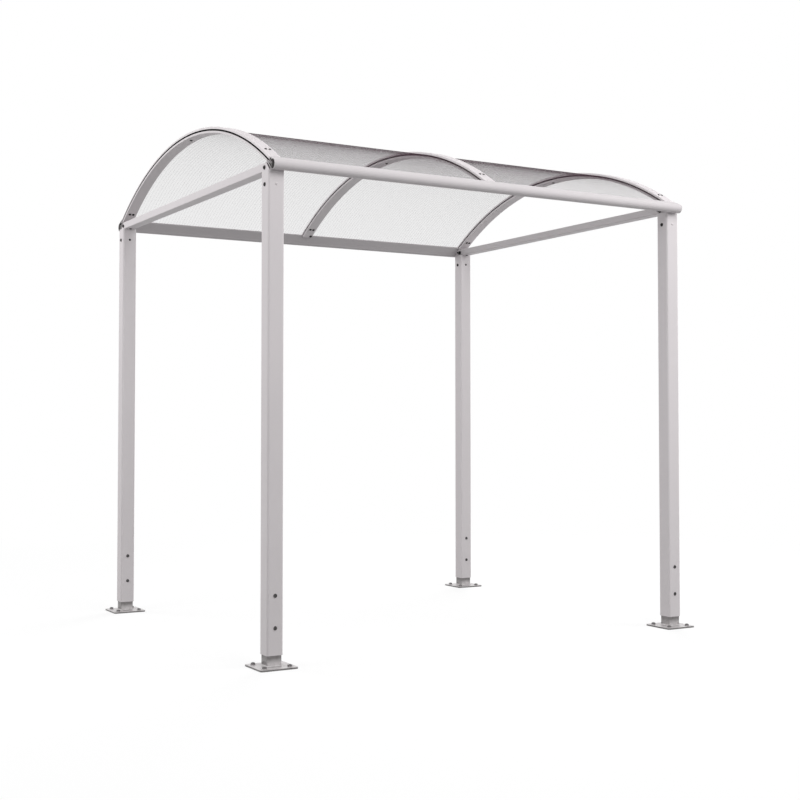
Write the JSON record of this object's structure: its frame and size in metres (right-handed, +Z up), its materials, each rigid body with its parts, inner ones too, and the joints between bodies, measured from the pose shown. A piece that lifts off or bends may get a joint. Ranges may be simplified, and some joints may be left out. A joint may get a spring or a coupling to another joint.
{
  "type": "waiting shelter",
  "caption": "Open-sided waiting shelter: square posts on bolted foot plates, eave rails, end ties and a barrel roof of clear twin-wall sheets clamped on curved arches.",
  "frame": {"origin": "centre of the plan, on the ground under the base plates", "axes": "+X along the eaves to the right seen from the front, +Y from front to back, +Z up"},
  "size_m": [2.553, 2.231, 2.6158],
  "materials": {
    "painted_aluminium": "satin pale warm grey powder coat",
    "galvanised_steel": "hot-dip galvanised",
    "bare_aluminium": "mill finish",
    "black_rubber": "black glazing rubber",
    "twin_wall_sheet": "clear twin-wall polycarbonate, ribs round the arc"
  },
  "bodies": {
    "root": {"post_front_left": "painted_aluminium", "post_front_right": "painted_aluminium", "post_back_left": "painted_aluminium", "post_back_right": "painted_aluminium", "base_plate_front_left": "galvanised_steel", "base_plate_front_right": "galvanised_steel", "base_plate_back_left": "galvanised_steel", "base_plate_back_right": "galvanised_steel", "foot_stub_front_left": "galvanised_steel", "foot_stub_front_right": "galvanised_steel", "foot_stub_back_left": "galvanised_steel", "foot_stub_back_right": "galvanised_steel", "post_bracket_front_left": "bare_aluminium", "post_bracket_front_right": "bare_aluminium", "post_bracket_back_left": "bare_aluminium", "post_bracket_back_right": "bare_aluminium", "eave_rail_front": "painted_aluminium", "eave_rail_back": "painted_aluminium", "lip_seal_front": "black_rubber", "lip_seal_back": "black_rubber", "end_tie_left": "painted_aluminium", "end_tie_right": "painted_aluminium", "rail_saddle_front_left": "painted_aluminium", "rail_saddle_front_right": "painted_aluminium", "rail_saddle_back_left": "painted_aluminium", "rail_saddle_back_right": "painted_aluminium", "arch_left": "painted_aluminium", "arch_middle": "painted_aluminium", "arch_right": "painted_aluminium", "clamp_cap_left": "painted_aluminium", "clamp_cap_middle": "painted_aluminium", "clamp_cap_right": "painted_aluminium", "edge_strip_left": "black_rubber", "edge_strip_right": "black_rubber", "joint_strip_middle": "black_rubber", "roof_sheet_left": "twin_wall_sheet", "roof_sheet_right": "twin_wall_sheet"}
  },
  "joints": []
}
